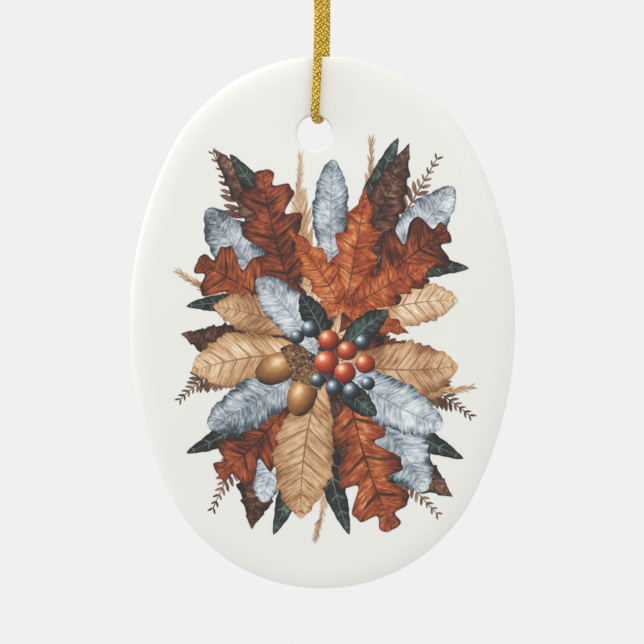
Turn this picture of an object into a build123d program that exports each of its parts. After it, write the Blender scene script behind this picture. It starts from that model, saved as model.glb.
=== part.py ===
from build123d import *
from math import cos, pi, radians, sin, tan
import os

# A flat oval porcelain ornament that hangs from a tied loop of metallic cord.
# The origin is the inside top of the loop, where a hook bears. +Z is up and the
# decorated face looks along -Y. All lengths are in millimetres.

# Porcelain plaque: an oval of four tangent arcs, with soft rims and one round hole.
plaque_width = 71.0
plaque_height = 98.0
plaque_thickness = 3.0
end_arc_share = 0.882
front_rim_radius = 1.25
back_rim_radius = 1.0
rim_limit_share = 0.45

# Hole: it sits a little to the left of the middle, as it was punched in the clay.
hole_diameter = 6.5
hole_below_top = 14.1
hole_left_of_middle = 1.43
hole_rim_radius = 0.45

# Cord: one limp strand that goes down the front, through the hole and up the back.
cord_diameter = 1.6
cord_face_gap = 0.3
cord_hole_gap = 0.25
# Where the cord bears in the hole, in degrees to the right of the hole's top.
cord_seat_turn = 19.4

# Loop: how far the hook point lies above the plaque, and the hook that it takes.
loop_rise = 28.0
hook_diameter = 2.3

# The cord crosses the hole aslant, turning in two steps round each rim of the hole,
# and its strands lie side by side above the plaque.
half_slant_in_hole = 0.6
bend_step = 0.9
half_spread_at_rim = 0.72
strand_turn_at_hook = 21.0

# Knot: a few wraps of the same cord, tied just above the hook, with two cut ends.
knot_wraps = 3
knot_width_share = 2.9
knot_tilt = 12.0
wrap_pitch_share = 0.92
knot_lead_share = 0.8
front_end_length = 8.0
back_end_length = 6.8
cord_end_flare = 2.6
end_bend_height_share = 0.45
end_bend_flare_share = 0.27

# A cord's arcs take this share of the shorter run beside them.
arc_share = 0.45

os.makedirs("parts", exist_ok=True)

# Sizes that follow from the ones above.
half_width = plaque_width / 2
half_height = plaque_height / 2
half_thickness = plaque_thickness / 2
hole_radius = hole_diameter / 2
end_arc_radius = end_arc_share * half_width
rim_limit = rim_limit_share * plaque_thickness
cord_radius = cord_diameter / 2
hook_radius = hook_diameter / 2

plaque_top_z = -loop_rise
plaque_centre_z = plaque_top_z - half_height
hole_centre_x = -hole_left_of_middle
hole_centre_z = plaque_top_z - hole_below_top

# The cord's centre line in the hole, where it bears on the hole's upper wall. The
# plaque sways about this point.
seat_radius = hole_radius - cord_hole_gap - cord_radius
seat_x = hole_centre_x + seat_radius * sin(radians(cord_seat_turn))
seat_z = hole_centre_z + seat_radius * cos(radians(cord_seat_turn))

# Depth of each strand's centre line in front of and behind the plaque's middle plane.
strand_y = half_thickness + cord_face_gap + cord_radius
hook_z = -hook_radius
spread_at_hook = hook_radius + cord_radius
knot_bottom_z = cord_radius
knot_lead_z = knot_bottom_z + knot_lead_share * cord_diameter


def oval_face():
    # Each end arc has its centre on the long axis and each side arc on the short one.
    side_arc_radius = (
        half_width**2 + half_height**2 - 2 * half_height * end_arc_radius
    ) / (2 * (half_width - end_arc_radius))
    side_centre_x = side_arc_radius - half_width
    end_centre_z = half_height - end_arc_radius
    between_centres = side_arc_radius - end_arc_radius
    reach = side_arc_radius / between_centres
    meet_x = reach * side_centre_x - side_centre_x
    meet_z = reach * end_centre_z
    top = ThreePointArc((-meet_x, meet_z), (0, half_height), (meet_x, meet_z))
    right = ThreePointArc((meet_x, meet_z), (half_width, 0), (meet_x, -meet_z))
    bottom = ThreePointArc((meet_x, -meet_z), (0, -half_height), (-meet_x, -meet_z))
    left = ThreePointArc((-meet_x, -meet_z), (-half_width, 0), (-meet_x, meet_z))
    return make_face([top, right, bottom, left])


def porcelain_plaque():
    front_plane = Plane(
        origin=(0, -half_thickness, plaque_centre_z), x_dir=(1, 0, 0), z_dir=(0, -1, 0)
    )
    plate = extrude(front_plane * oval_face(), amount=-plaque_thickness)
    bore_plane = Plane(
        origin=(hole_centre_x, 0, hole_centre_z), x_dir=(1, 0, 0), z_dir=(0, -1, 0)
    )
    plate -= bore_plane * Cylinder(hole_radius, 2 * plaque_thickness)
    hole_edges = plate.edges().filter_by(GeomType.CIRCLE).sort_by(SortBy.RADIUS)[:2]
    plate = fillet(hole_edges, min(hole_rim_radius, rim_limit))
    front_face = plate.faces().sort_by(Axis.Y)[0]
    plate = fillet(front_face.outer_wire().edges(), min(front_rim_radius, rim_limit))
    back_face = plate.faces().sort_by(Axis.Y)[-1]
    return fillet(back_face.outer_wire().edges(), min(back_rim_radius, rim_limit))


def loop_route():
    # Centre line from inside the knot, down the front of the plaque, through the
    # hole and up the back to the knot again.
    turn = radians(strand_turn_at_hook)
    hook_x = spread_at_hook * tan(turn)
    lead_x = cord_radius * tan(turn)
    step_y = strand_y - bend_step
    step_slant = half_slant_in_hole * step_y / strand_y
    return [
        (-lead_x, -cord_radius, knot_lead_z),
        (-hook_x, -spread_at_hook, hook_z),
        (-half_spread_at_rim, -strand_y, plaque_top_z),
        (seat_x - half_slant_in_hole, -strand_y, seat_z + bend_step),
        (seat_x - step_slant, -step_y, seat_z),
        (seat_x + step_slant, step_y, seat_z),
        (seat_x + half_slant_in_hole, strand_y, seat_z + bend_step),
        (half_spread_at_rim, strand_y, plaque_top_z),
        (hook_x, spread_at_hook, hook_z),
        (lead_x, cord_radius, knot_lead_z),
    ]


def arc_radii(points):
    # Each arc is as large as its two runs allow.
    radii = []
    for before, corner, after in zip(points, points[1:], points[2:]):
        first_run = Vector(*corner) - Vector(*before)
        second_run = Vector(*after) - Vector(*corner)
        half_turn = radians(first_run.get_angle(second_run)) / 2
        shorter = min(first_run.length, second_run.length)
        radii.append(arc_share * shorter / tan(half_turn))
    return radii


def loop_radii():
    # The cord is taut, so its first and last arcs are as tight as the hook.
    radii = arc_radii(loop_route())
    radii[0] = radii[-1] = hook_radius + cord_radius
    return radii


def tube(name, points, radii):
    path = FilletPolyline(*points, radius=radii)
    section = Plane(origin=path @ 0, z_dir=path % 0) * Circle(cord_radius)
    solid = sweep(section, path=path)
    expected = pi * cord_radius**2 * path.length
    print(name, "length", round(path.length, 1), "radii", [round(r, 1) for r in radii])
    print(name, "volume", round(solid.volume, 2), "expected", round(expected, 2))
    return solid


def hanging_cord():
    return tube("hanging_cord", loop_route(), loop_radii())


def cord_knot():
    # Wraps of cord lie aslant round a core and swell past it.
    pitch = wrap_pitch_share * cord_diameter
    wrap_radius = knot_width_share * cord_radius - cord_radius
    height = pitch * (knot_wraps - 1) + cord_diameter
    middle_z = knot_bottom_z + height / 2
    body = Pos(0, 0, middle_z) * Cylinder(wrap_radius, height)
    for number in range(knot_wraps):
        wrap_z = knot_bottom_z + cord_radius + number * pitch
        body += Pos(0, 0, wrap_z) * Rot(X=knot_tilt) * Torus(wrap_radius, cord_radius)
    return body


def cord_end(name, side, length):
    # A cut end leaves the top of the knot and flares outwards.
    knot_top_z = knot_bottom_z + cord_diameter * (1 + wrap_pitch_share * (knot_wraps - 1))
    bend_y = cord_radius + end_bend_flare_share * (cord_end_flare - cord_radius)
    turn = side * tan(radians(strand_turn_at_hook))
    points = [
        (turn * cord_radius, side * cord_radius, knot_top_z - knot_lead_share * cord_diameter),
        (turn * cord_radius, side * bend_y, knot_top_z + end_bend_height_share * length),
        (turn * cord_end_flare, side * cord_end_flare, knot_top_z + length),
    ]
    return tube(name, points, arc_radii(points))


made = {
    "porcelain_plaque": porcelain_plaque(),
    "hanging_cord": hanging_cord(),
    "cord_knot": cord_knot(),
    "front_cord_end": cord_end("front_cord_end", -1, front_end_length),
    "back_cord_end": cord_end("back_cord_end", 1, back_end_length),
}

for node, solid in made.items():
    export_step(solid, f"parts/{node}.step")
    print(node, "volume", round(solid.volume, 1), "mm3")
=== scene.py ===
import functools
import math
import re

import bmesh
import bpy
import numpy as np
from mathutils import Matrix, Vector


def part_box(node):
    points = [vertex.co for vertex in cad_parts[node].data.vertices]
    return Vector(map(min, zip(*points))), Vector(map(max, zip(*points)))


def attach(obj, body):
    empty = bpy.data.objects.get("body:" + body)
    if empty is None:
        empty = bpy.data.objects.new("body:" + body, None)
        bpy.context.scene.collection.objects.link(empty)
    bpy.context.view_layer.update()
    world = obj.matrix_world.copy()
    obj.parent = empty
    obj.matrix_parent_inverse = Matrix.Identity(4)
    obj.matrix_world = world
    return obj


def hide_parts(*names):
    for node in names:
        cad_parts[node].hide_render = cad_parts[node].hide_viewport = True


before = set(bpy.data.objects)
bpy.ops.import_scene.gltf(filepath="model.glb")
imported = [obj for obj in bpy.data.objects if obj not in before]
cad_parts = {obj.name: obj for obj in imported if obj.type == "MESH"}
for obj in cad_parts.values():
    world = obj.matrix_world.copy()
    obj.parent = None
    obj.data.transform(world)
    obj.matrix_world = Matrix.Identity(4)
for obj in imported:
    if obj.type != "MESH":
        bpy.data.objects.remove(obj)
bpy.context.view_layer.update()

mm = 0.001
plaqueLow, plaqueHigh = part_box("porcelain_plaque")
plaqueCentre = (plaqueLow + plaqueHigh) / 2
frontFaceY = plaqueLow.y
print("frame loaded, plaque box", [round(side / mm, 1) for side in plaqueHigh - plaqueLow])


# Shared helpers

vectorData = {"data_type": "FLOAT_VECTOR"}
smoothStep = {"interpolation_type": "SMOOTHSTEP"}


def linear(hexColour):
    # sRGB hex to the linear colour that a shader takes
    levels = [int(hexColour[at:at + 2], 16) / 255 for at in (1, 3, 5)]
    return (*(v / 12.92 if v <= 0.04045 else ((v + 0.055) / 1.055) ** 2.4 for v in levels), 1.0)


def fillInputs(node, inputs):
    # a socket, or each one of a list, is linked in; anything else is the input's value
    for name, value in inputs.items():
        if isinstance(value, (bpy.types.NodeSocket, list)):
            for socket in value if isinstance(value, list) else [value]:
                node.id_data.links.new(socket, node.inputs[name])
        else:
            node.inputs[name].default_value = value


def addNode(tree, kind, *inputs, out=0, **settings):
    # adds one node and gives one of its outputs. The kind may end in an operation, and an
    # operation alone is one of the Math node. Inputs come in their order, or in a
    # dictionary by name or number, and settings as keywords.
    kind, _, operation = (f"Math {kind}" if kind.isupper() else kind).partition(" ")
    families = ["ShaderNode"] if tree.type == "SHADER" else ["GeometryNode", "FunctionNode", "ShaderNode"]
    node = tree.nodes.new(next(family + kind for family in families if hasattr(bpy.types, family + kind)))
    if operation:
        node.operation = operation
    for name, value in settings.items():
        setattr(node, name, value)
    for place, value in enumerate(inputs):
        fillInputs(node, value if isinstance(value, dict) else {place: value})
    return node.outputs[out] if node.outputs else node


def setStops(ramp, stops):
    # gives a colour ramp its stops, the hex colour at each place
    elements = ramp.node.color_ramp.elements
    while len(elements) < len(stops):
        elements.new(0.5)
    for element, (place, colour) in zip(elements, stops.items()):
        element.position = place
        element.color = linear(colour)
    return ramp


def newMaterial(name):
    # a material, what adds nodes to it, and its shader
    material = bpy.data.materials.new(name)
    material.use_nodes = True
    tree = material.node_tree
    return material, functools.partial(addNode, tree), tree.nodes["Principled BSDF"]


def newNodes(name, **inputs):
    # a geometry tree with one mesh in, one mesh out, a material and the inputs named under
    # each kind; what adds nodes to it; and its inputs
    tree = bpy.data.node_groups.new(name, "GeometryNodeTree")
    for kind, labels in {"Geometry": ["Base"], "Material": ["Material"], **inputs}.items():
        for label in labels:
            tree.interface.new_socket(name=label, in_out="INPUT", socket_type="NodeSocket" + kind)
    tree.interface.new_socket(name="Result", in_out="OUTPUT", socket_type="NodeSocketGeometry")
    return tree, functools.partial(addNode, tree), tree.nodes.new("NodeGroupInput").outputs


def closeNodes(tree, geometry, material):
    real = addNode(tree, "RealizeInstances", geometry)
    dressed = addNode(tree, "SetMaterial", {"Geometry": real, "Material": material})
    tree.links.new(dressed, tree.nodes.new("NodeGroupOutput").inputs[0])
    return tree


def newObject(name, data):
    thing = bpy.data.objects.new(name, data)
    bpy.context.scene.collection.objects.link(thing)
    return thing


def finalMesh(thing):
    # the mesh that a curve or a modifier makes
    return bpy.data.meshes.new_from_object(thing.evaluated_get(bpy.context.evaluated_depsgraph_get()))


def runNodes(piece, tree, **values):
    # runs the tree on the piece and keeps only the mesh that comes out; a value called
    # coreRadius goes to the input Core Radius, and one without an input is left alone
    named = {re.sub("([A-Z])", r" \1", name).title(): value for name, value in values.items()}
    modifier = piece.modifiers.new("nodes", "NODES")
    modifier.node_group = tree
    for item in tree.interface.items_tree:
        if item.in_out == "INPUT" and item.name in named:
            modifier[item.identifier] = named[item.name]
    mesh = finalMesh(piece)
    piece.modifiers.clear()
    piece.data = mesh
    mesh.name = piece.name


def meshPiece(name, verts, faces=(), edges=(), material=None):
    # faces make a finished sheet; edges or bare points are what a geometry tree builds on
    mesh = bpy.data.meshes.new(name)
    mesh.from_pydata([tuple(v) for v in verts], edges, [tuple(f) for f in faces])
    if material:
        mesh.validate()
        mesh.polygons.foreach_set("use_smooth", [True] * len(mesh.polygons))
        mesh.materials.append(material)
    return newObject(name, mesh)


def runOfEdges(count, first=0):
    return [(first + step, first + step + 1) for step in range(count - 1)]


def circlePoints(count):
    turns = [2 * math.pi * step / count for step in range(count)]
    return [(math.cos(turn), math.sin(turn)) for turn in turns]


def changeFaces(piece, change):
    work = bmesh.new()
    work.from_mesh(piece.data)
    change(work)
    work.to_mesh(piece.data)
    work.free()


def fixNormals(piece):
    changeFaces(piece, lambda work: bmesh.ops.recalc_face_normals(work, faces=work.faces))


# Camera: level, straight on to the printed face, through a long lens

photo = {
    "size": 644,               # the photograph's side in pixels
    "plaqueCentre": (322.2, 322.6),
    "plaqueHeight": 533.0,
    "lens": 160.0,             # millimetres on the default 36 mm sensor
}


def makeCamera():
    camera = bpy.data.cameras.new("studioCamera")
    camera.lens = photo["lens"]
    holder = newObject("studioCamera", camera)
    pixel = (plaqueHigh.z - plaqueLow.z) / photo["plaqueHeight"]
    distance = photo["size"] * pixel * camera.lens / camera.sensor_width
    across, down = ((at - photo["size"] / 2) * pixel for at in photo["plaqueCentre"])
    holder.location = (plaqueCentre.x - across, frontFaceY - distance, plaqueCentre.z + down)
    holder.rotation_euler = (math.pi / 2, 0, 0)
    camera.clip_start = distance * 0.1
    camera.clip_end = distance * 20
    bpy.context.scene.camera = holder
    print("camera at", round(distance / mm), "mm")


makeCamera()


# Studio: even pale surround, soft boxes above the front and the back, small side lamps

studio = {
    "backdrop": "#F0F0F0",
    "ambientColour": "#FFFFFF",
    "ambientStrength": 0.56,
    "floorColour": "#EFEFEF",
    "floorRoughness": 0.9,
    "floorDrop": 220 * mm,     # below the plaque's lowest edge
    "floorRadius": 420 * mm,
    "floorFadeShare": 0.3,     # share of the radius at which the floor starts to fade
    "floorSteps": 96,
}
lamps = {
    # watts, size, and place from the plaque's centre
    "overheadFront": (2.25, 820 * mm, (20 * mm, -440 * mm, 400 * mm)),
    "leftSide": (1.7, 420 * mm, (-580 * mm, -60 * mm, 260 * mm)),
    "rightSide": (0.2, 300 * mm, (620 * mm, -60 * mm, -20 * mm)),
    "overheadBack": (1.9, 420 * mm, (80 * mm, 560 * mm, 430 * mm)),
}


def makeWorld():
    world = bpy.data.worlds.new("studioWorld")
    world.use_nodes = True
    bpy.context.scene.world = world
    world.node_tree.nodes.clear()
    add = functools.partial(addNode, world.node_tree)
    rays = add("LightPath").node.outputs
    seen = add("ADD", rays["Is Camera Ray"], rays["Is Glossy Ray"])
    seen = add("ADD", seen, rays["Is Transmission Ray"], use_clamp=True)
    ambient = add("Background", linear(studio["ambientColour"]), studio["ambientStrength"])
    backdrop = add("Background", linear(studio["backdrop"]), 1.0)
    add("OutputWorld", {"Surface": add("MixShader", seen, ambient, backdrop)})


def makeLamp(name, watts, size, place):
    lamp = bpy.data.lights.new(name, "AREA")
    lamp.energy = watts
    lamp.size = size
    holder = newObject(name, lamp)
    holder.location = plaqueCentre + Vector(place)
    holder.rotation_mode = "QUATERNION"
    holder.rotation_quaternion = (-Vector(place)).to_track_quat("-Z", "Y")
    holder.visible_camera = False


def makeFloor():
    # a plain pale floor whose edge fades out into the backdrop, seen from above only
    material, add, shader = newMaterial("paleStudioFloor")
    radius = studio["floorRadius"]
    fillInputs(shader, {"Base Color": linear(studio["floorColour"]), "Specular IOR Level": 0.1,
                        "Roughness": studio["floorRoughness"]})
    away = add("VectorMath LENGTH", add("TexCoord", out="Object"), out="Value")
    fade = add("MapRange", away, radius * studio["floorFadeShare"], radius, **smoothStep)
    hidden = add("MAXIMUM", fade, add("NewGeometry", out="Backfacing"))
    mixed = add("MixShader", hidden, shader.outputs[0], add("BsdfTransparent"))
    fillInputs(material.node_tree.nodes["Material Output"], {"Surface": mixed})
    rim = [(radius * x, radius * y, 0) for x, y in circlePoints(studio["floorSteps"])]
    floor = meshPiece("studioFloor", rim, [range(len(rim))], material=material)
    floor.location = (plaqueCentre.x, 0, plaqueLow.z - studio["floorDrop"])


makeWorld()
for name, (watts, size, place) in lamps.items():
    makeLamp(name, watts, size, place)
makeFloor()
bpy.context.scene.view_settings.view_transform = "Standard"
print("studio ready")


# Cord: a thin round braid of metallic film yarn on a cotton core

cord = {
    "diameter": 1.6 * mm,
    "carriers": 4,             # bands of yarn that wind each way
    "ends": 2,                 # yarns side by side in a band
    "lead": 4.68 * mm,         # length of one full turn of a yarn
    "coreRadius": 0.53 * mm,
    "coreSides": 10,
    "yarnRadius": 0.65 * mm,   # from the cord's middle to a yarn's middle
    "weaveDepth": 0.12 * mm,
    "yarnWidth": 0.35 * mm,
    "yarnThickness": 0.16 * mm,
    "samplesPerLead": 50,
    "jitter": 0.012 * mm,      # unevenness of how tightly a yarn lies
    "crinkle": 0.2 * mm,       # length of the facets that a flat yarn is crinkled into
    # the tone that follows a facet's height in the weave is painted shade, darkest where a yarn dives under
    "heightShare": 0.55,       # how far a facet's tone follows its height in the weave
    "heightRange": (0.5, 1.0),   # heights in the weave of the deepest and the brightest gold
    "roughness": (0.22, 0.5),
    "facetDepth": 0.03 * mm,   # relief of the facets
    # the gold's tones, from painted shade and dark painted reflection to bright painted glints
    "shades": {0.0: "#453100", 0.28: "#9A7618", 0.62: "#CBA630", 1.0: "#FFE582"},
    "seat": (-0.85 * mm, 0.0, -39.8 * mm),   # where it bears on the hole's wall
    "seatReach": 2.6 * mm,     # the cord is pressed flatter within this of the seat
    "seatFlatness": 0.7,       # height over width there
    "seed": 7,
}

# The route of the loop, from inside the knot, down the front, through the hole and
# up the back again. It has two more points on each straight strand than the tube, and
# just above the hole the stiff braid stands out a little from the face.
loopRoute = [
    (-0.000307, -0.0008, 0.00208),
    (-0.0007485, -0.00195, -0.00115),
    (-0.000738, -0.00218, -0.0108),
    (-0.00072, -0.0030, -0.028),
    (-0.001240, -0.0034, -0.03690),
    (-0.001330, -0.0029, -0.03878),
    (-0.001120, -0.0017, -0.03981),
    (-0.000560, 0.0017, -0.03980),
    (-0.000330, 0.0026, -0.03878),
    (-0.000160, 0.0026, -0.03750),
    (0.00072, 0.0026, -0.028),
    (0.000738, 0.00218, -0.0108),
    (0.0007485, 0.00195, -0.00115),
    (0.000307, 0.0008, 0.00208),
]


def goldYarn():
    # Metallic film yarn, slit from a gold-coated sheet and braided: each flat facet mirrors its own bit of
    # the studio, and each also gets a random tone from dark to bright gold, painted glints and painted
    # reflections, which gives glitter over a deep yellow gold.
    material, add, shader = newMaterial("goldFilmYarn")
    parts = add("SeparateXYZ", add("Attribute", attribute_name="yarnPlace", out="Vector")).node.outputs
    # each facet gets a random tone of gold: painted glints and painted reflections
    facets = add("TexVoronoi", {"Vector": add("CombineXYZ", parts[0], parts[1]),
                                "Scale": 1 / cord["crinkle"], "Randomness": 1.0}, feature="F1", out="Color")
    chance = add("SeparateColor", facets).node.outputs
    # painted shade: yarns that dive under the others are painted a darker gold, as shade in the weave's
    # hollows
    height = add("MapRange", parts[2], *cord["heightRange"])
    level = add("Mix", {0: cord["heightShare"], 2: chance[0], 3: height})
    fillInputs(shader, {
        "Base Color": setStops(add("ValToRGB", level), cord["shades"]),
        "Roughness": add("MapRange", chance[1], 0.0, 1.0, *cord["roughness"]),
        "Normal": add("Bump", {"Height": chance[2], "Strength": 0.55, "Distance": cord["facetDepth"]}),
        "Metallic": 0.95})
    return material


def smoothPath(name, points, resolution=12):
    # points along the NURBS spline that has these control points
    curve = bpy.data.curves.new(name, "CURVE")
    curve.dimensions = "3D"
    curve.resolution_u = resolution
    spline = curve.splines.new("NURBS")
    spline.points.add(len(points) - 1)
    for point, place in zip(spline.points, points):
        point.co = (*place, 1.0)
    spline.order_u = 3
    spline.use_endpoint_u = True
    holder = newObject(name, curve)
    mesh = finalMesh(holder)
    path = np.array([tuple(v.co) for v in mesh.vertices])
    bpy.data.objects.remove(holder)
    bpy.data.meshes.remove(mesh)
    return path


def braidTree():
    # flat yarns wind both ways round the line in Base and pass over and under each other
    tree, add, given = newNodes(
        "braidedYarns", Int=["Carriers", "Ends", "Seed"], Vector=["Seat"],
        Float=["Lead", "Sample Length", "Core Radius", "Yarn Radius", "Weave Depth", "Jitter",
               "Yarn Width", "Yarn Thickness", "Seat Reach", "Seat Flatness"])
    position = add("InputPosition")
    even = add("ResampleCurve", {"Curve": add("MeshToCurve", given["Base"]),
                                 "Length": given["Sample Length"]}, mode="LENGTH")
    line = add("StoreNamedAttribute", even, {"Name": "middle", "Value": position}, **vectorData)
    across = add("MULTIPLY", given["Carriers"], given["Ends"])
    copies = add("DuplicateElements", line, {"Amount": add("MULTIPLY", across, 2.0)}, domain="SPLINE")
    number = copies.node.outputs["Duplicate Index"]
    # even yarns wind one way and odd ones the other
    way = add("SUBTRACT", 1.0, add("MULTIPLY", add("MODULO", number, 2.0), 2.0))
    yarn = add("FLOOR", add("DIVIDE", number, 2.0))
    along = add("SplineParameter", out="Length")
    turns = add("DIVIDE", along, given["Lead"])
    turn = add("ADD", add("MULTIPLY", way, turns), add("DIVIDE", yarn, across))
    outward = add("VectorRotate", {"Vector": add("InputNormal"), "Axis": add("InputTangent"),
                                   "Angle": add("MULTIPLY", turn, 2 * math.pi)},
                  rotation_type="AXIS_ANGLE")
    marked = add("StoreNamedAttribute", copies, {"Name": "outward", "Value": outward}, **vectorData)
    # a band goes over and under each band that it meets, and its yarns do so together
    middleYarn = add("MULTIPLY", add("SUBTRACT", given["Ends"], 1.0), 0.5)
    fromMiddle = add("SUBTRACT", add("MODULO", yarn, given["Ends"]), middleYarn)
    early = add("MULTIPLY", add("DIVIDE", fromMiddle, given["Ends"]), add("MULTIPLY", way, 0.5))
    crossings = add("ADD", add("MULTIPLY", turns, given["Carriers"]), early)
    over = add("MULTIPLY", add("COSINE", add("MULTIPLY", crossings, 2 * math.pi)), way)
    # the yarn's height in the weave, from which the gold paints shade into its hollows
    height = add("MULTIPLY", add("ADD", over, 1.0), 0.5)
    place = add("CombineXYZ", along, add("MULTIPLY", number, given["Lead"]), height)
    marked = add("StoreNamedAttribute", marked, {"Name": "yarnPlace", "Value": place}, **vectorData)
    slack = add("RandomValue", {2: -1.0, 3: 1.0, "Seed": given["Seed"]}, out="Value")
    radius = add("ADD", given["Yarn Radius"], add("MULTIPLY", over, given["Weave Depth"]))
    radius = add("ADD", radius, add("MULTIPLY", slack, given["Jitter"]))
    facing = add("InputNamedAttribute", "outward", **vectorData)
    wound = add("SetPosition", marked, {"Offset": add("VectorMath SCALE", {0: facing, "Scale": radius})})
    flat = add("SetCurveNormal", wound, {"Normal": facing}, mode="FREE")
    halfWidth = add("MULTIPLY", given["Yarn Width"], 0.5)
    section = add("CurvePrimitiveQuadrilateral", {
        "Width": given["Yarn Thickness"], "Bottom Height": halfWidth, "Top Height": halfWidth}, mode="KITE")
    side = add("SeparateXYZ", position, out=1)
    section = add("StoreNamedAttribute", section, {"Name": "yarnSide", "Value": side})
    yarns = add("CurveToMesh", flat, {"Profile Curve": section, "Fill Caps": True})
    aside = add("CombineXYZ", {1: add("InputNamedAttribute", "yarnSide")})
    kept = add("InputNamedAttribute", "yarnPlace", **vectorData)
    moved = add("VectorMath ADD", kept, aside)
    yarns = add("StoreNamedAttribute", yarns, {"Name": "yarnPlace", "Value": moved}, **vectorData)
    coreSection = add("CurvePrimitiveCircle", cord["coreSides"], {"Radius": given["Core Radius"]})
    core = add("CurveToMesh", line, {"Profile Curve": coreSection, "Fill Caps": True})
    whole = add("JoinGeometry", [yarns, core])
    # where it bears on the wall of the hole the cord is pressed flatter
    middle = add("InputNamedAttribute", "middle", **vectorData)
    away = add("VectorMath DISTANCE", middle, given["Seat"], out="Value")
    flatter = add("MapRange", away, add("MULTIPLY", given["Seat Reach"], 0.5), given["Seat Reach"],
                  given["Seat Flatness"], 1.0, **smoothStep)
    share = add("CombineXYZ", 1.0, 1.0, flatter)
    pressed = add("VectorMath MULTIPLY_ADD", add("VectorMath SUBTRACT", position, middle), share, middle)
    whole = add("SetPosition", whole, {"Position": pressed})
    for name in ("outward", "yarnSide", "middle"):
        whole = add("RemoveAttribute", whole, {"Name": name})
    faceted = add("SetShadeSmooth", whole, {"Shade Smooth": False})
    return closeNodes(tree, faceted, given["Material"])


gold = goldYarn()
braidNodes = braidTree()


def braidedCord(name, path):
    piece = meshPiece(name, path, edges=runOfEdges(len(path)))
    runNodes(piece, braidNodes, sampleLength=cord["lead"] / cord["samplesPerLead"], material=gold, **cord)
    fixNormals(piece)
    return piece, float(np.linalg.norm(np.diff(path, axis=0), axis=1).sum())


loopPath = smoothPath("loopLine", loopRoute)
loopCord, loopLength = braidedCord("loopCord", loopPath)
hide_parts("hanging_cord")
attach(loopCord, "cord_loop")
print("loop cord", round(loopLength / mm, 1), "mm,", len(loopCord.data.polygons), "faces")


# Knot: the cord's two ends tied together above the hook, and the cut ends

knot = {
    "bottom": 0.8 * mm,
    "radius": 1.52 * mm,
    "wraps": 3,
    "pitch": 1.5 * mm,
    "tilt": 0.22,              # how far each wrap leans, as rise over radius
    "pointsPerWrap": 14,
    "tuckRadius": 0.7 * mm,
    "tuckRise": 0.4,           # of the last tuck, as a share of the cord's diameter
}
fray = {
    "threads": 34,
    "length": 1.0 * mm,
    "radius": 0.035 * mm,
    "depth": 0.15 * mm,        # how far inside the cut end a thread starts
    "splay": math.radians(34),   # the most that a thread leans
    "sides": 4,
    "segments": 3,
    "taper": 0.5,              # a thread's width at its tip, as a share of its foot's
    "shortest": 0.4,           # as a share of the length
    "discSteps": 12,
    "seed": 21,
}
cordEnds = {
    "frontCordEnd": ("front_cord_end", [
        (-0.000307, -0.0008, 0.0041), (-0.000307, -0.00129, 0.0089), (-0.000998, -0.0026, 0.0130)]),
    "backCordEnd": ("back_cord_end", [
        (0.000307, 0.0008, 0.0041), (0.000307, 0.00129, 0.0084), (0.000998, 0.0026, 0.0118)]),
}


def knotRoute():
    points = [(0, -knot["tuckRadius"], knot["bottom"] + cord["diameter"] / 2)]
    count = knot["wraps"] * knot["pointsPerWrap"]
    for step in range(count + 1):
        turn = 2 * math.pi * step / knot["pointsPerWrap"] - math.pi / 2
        rise = knot["pitch"] * step / knot["pointsPerWrap"] * (knot["wraps"] - 1) / knot["wraps"]
        lean = knot["tilt"] * knot["radius"] * math.sin(turn)
        points.append((knot["radius"] * math.cos(turn), knot["radius"] * math.sin(turn),
                       knot["bottom"] + cord["diameter"] / 2 + rise + lean))
    points.append((0, -knot["tuckRadius"], points[-1][2] + cord["diameter"] * knot["tuckRise"]))
    return points


def frayTree():
    tree, add, given = newNodes("frayedThreads", Float=["Density", "Length", "Radius", "Splay"],
                                Int=["Seed"])
    spots = add("DistributePointsOnFaces", given["Base"],
                {"Density": given["Density"], "Seed": given["Seed"]})
    thread = add("MeshCone", {"Vertices": fray["sides"], "Side Segments": fray["segments"],
                              "Radius Top": add("MULTIPLY", given["Radius"], fray["taper"]),
                              "Radius Bottom": given["Radius"], "Depth": given["Length"]})
    tilt = add("RandomValue", {0: (-1.0, -1.0, -1.0), 1: (1.0, 1.0, 1.0), "Seed": given["Seed"]},
               **vectorData)
    leaning = add("EulerToRotation", add("VectorMath SCALE", {0: tilt, "Scale": given["Splay"]}))
    turned = add("RotateRotation", spots.node.outputs["Rotation"], leaning, rotation_space="LOCAL")
    lengths = add("RandomValue", {2: fray["shortest"], 3: 1.0,
                                  "Seed": add("ADD", given["Seed"], 1.0)}, out="Value")
    placed = add("InstanceOnPoints", spots, {
        "Instance": thread, "Rotation": turned, "Scale": add("CombineXYZ", 1.0, 1.0, lengths)})
    # loose threads are as bright as the yarns on top, with almost none of the painted shade of the weave
    own = add("RandomValue", {0: (0.0, 0.0, 0.85), 1: (1.0, 1.0, 1.0),
                              "Seed": add("ADD", given["Seed"], 2.0)}, **vectorData)
    marked = add("StoreNamedAttribute", placed, {"Name": "yarnPlace", "Value": own},
                 domain="INSTANCE", **vectorData)
    return closeNodes(tree, marked, given["Material"])


def frayedTip(name, path, tree):
    # loose threads stand on a small disc just inside the cut end
    heading = Vector(path[-1] - path[-4]).normalized()
    side = heading.orthogonal().normalized()
    up = heading.cross(side)
    centre = Vector(path[-1]) - heading * fray["depth"]
    radius = cord["yarnRadius"]
    disc = [centre + (side * x + up * y) * radius for x, y in circlePoints(fray["discSteps"])]
    piece = meshPiece(name, disc, [range(len(disc))], material=gold)
    runNodes(piece, tree, density=fray["threads"] / (math.pi * radius ** 2), material=gold, **fray)
    fixNormals(piece)
    return piece


def dressCordPiece(piece, node=None):
    if node:
        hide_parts(node)
    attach(piece, "cord_loop")


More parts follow.
